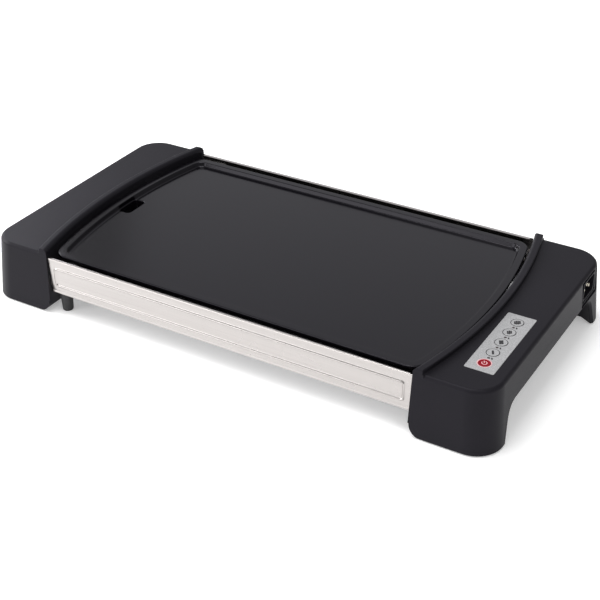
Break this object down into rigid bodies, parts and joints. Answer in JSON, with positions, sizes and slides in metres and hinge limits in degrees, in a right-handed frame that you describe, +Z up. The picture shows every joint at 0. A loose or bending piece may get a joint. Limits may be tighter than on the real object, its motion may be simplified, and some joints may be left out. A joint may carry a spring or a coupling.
{
  "type": "electric plancha",
  "caption": "Tabletop electric griddle: flat non-stick plate with a raised rim between two moulded end housings, a push-button keypad, steel side panels and a sliding drip tray.",
  "frame": {"origin": "on the table, under the middle of the appliance", "axes": "+X along the length to the keypad end, -Y to the front panel beside the keypad's power button, +Z up"},
  "size_m": [0.6, 0.3056, 0.0756],
  "materials": {
    "housing": "satin charcoal",
    "plate": "satin non-stick coating",
    "steel": "fine brushed",
    "pan": "plain sheet",
    "element": "heat darkened",
    "keypad": "satin silver",
    "key": "silver",
    "power": "red",
    "lens": "clear",
    "board": "green lacquer",
    "component": "black",
    "brass": "plain",
    "lead": "insulated wire",
    "rubber": "matt",
    "screw": "zinc plated"
  },
  "bodies": {
    "appliance": {"cooking_plate": "plate", "heating_element": "element", "element_clamp_rear": "pan", "element_clamp_front": "pan", "element_clamp_left": "pan", "temperature_sensor": "brass", "thermal_fuse": "component", "base_pan": "pan", "front_panel": "steel", "rear_panel": "steel", "left_housing": "housing", "right_housing": "housing", "left_base_cover": "housing", "right_base_cover": "housing", "keypad_overlay": "keypad", "control_board": "board", "tact_switch_1": "component", "tact_switch_2": "component", "tact_switch_3": "component", "tact_switch_4": "component", "tact_switch_5": "component", "indicator_1": "lens", "indicator_2": "lens", "indicator_3": "lens", "indicator_4": "lens", "power_board": "board", "relay": "component", "ribbon_cable": "keypad", "element_lead_live": "lead", "element_lead_neutral": "lead", "sensor_lead": "lead", "inlet_socket": "component", "inlet_pin_live": "brass", "inlet_pin_earth": "brass", "inlet_pin_neutral": "brass", "inlet_lead_live": "lead", "inlet_lead_earth": "lead", "inlet_lead_neutral": "lead", "tray_rail_front": "pan", "tray_rail_rear": "pan", "stub_foot_front": "rubber", "stub_foot_rear": "rubber", "foot_pad_left_front": "rubber", "foot_pad_left_rear": "rubber", "foot_pad_right_front": "rubber", "foot_pad_right_rear": "rubber", "cover_screw_left_front": "screw", "cover_screw_left_rear": "screw", "cover_screw_right_front": "screw", "cover_screw_right_rear": "screw", "panel_screw_left_front": "screw", "panel_screw_left_rear": "screw", "panel_screw_right_front": "screw", "panel_screw_right_rear": "screw"},
    "power_key": {"power_button": "power"},
    "level_key_1": {"level_button_1": "key"},
    "level_key_2": {"level_button_2": "key"},
    "level_key_3": {"level_button_3": "key"},
    "level_key_4": {"level_button_4": "key"},
    "tray": {"drip_tray": "component"}
  },
  "joints": [
    {"name": "power_button_press", "type": "slide", "parent": "appliance", "child": "power_key", "axis": [0, 0, -1], "range_m": [0, 0.0006], "stiffness_N_per_m": 1500},
    {"name": "level_button_1_press", "type": "slide", "parent": "appliance", "child": "level_key_1", "axis": [0, 0, -1], "range_m": [0, 0.0006], "stiffness_N_per_m": 1500},
    {"name": "level_button_2_press", "type": "slide", "parent": "appliance", "child": "level_key_2", "axis": [0, 0, -1], "range_m": [0, 0.0006], "stiffness_N_per_m": 1500},
    {"name": "level_button_3_press", "type": "slide", "parent": "appliance", "child": "level_key_3", "axis": [0, 0, -1], "range_m": [0, 0.0006], "stiffness_N_per_m": 1500},
    {"name": "level_button_4_press", "type": "slide", "parent": "appliance", "child": "level_key_4", "axis": [0, 0, -1], "range_m": [0, 0.0006], "stiffness_N_per_m": 1500},
    {"name": "drip_tray_slide", "type": "slide", "parent": "appliance", "child": "tray", "axis": [-1, 0, 0], "range_m": [0, 0.06]}
  ]
}
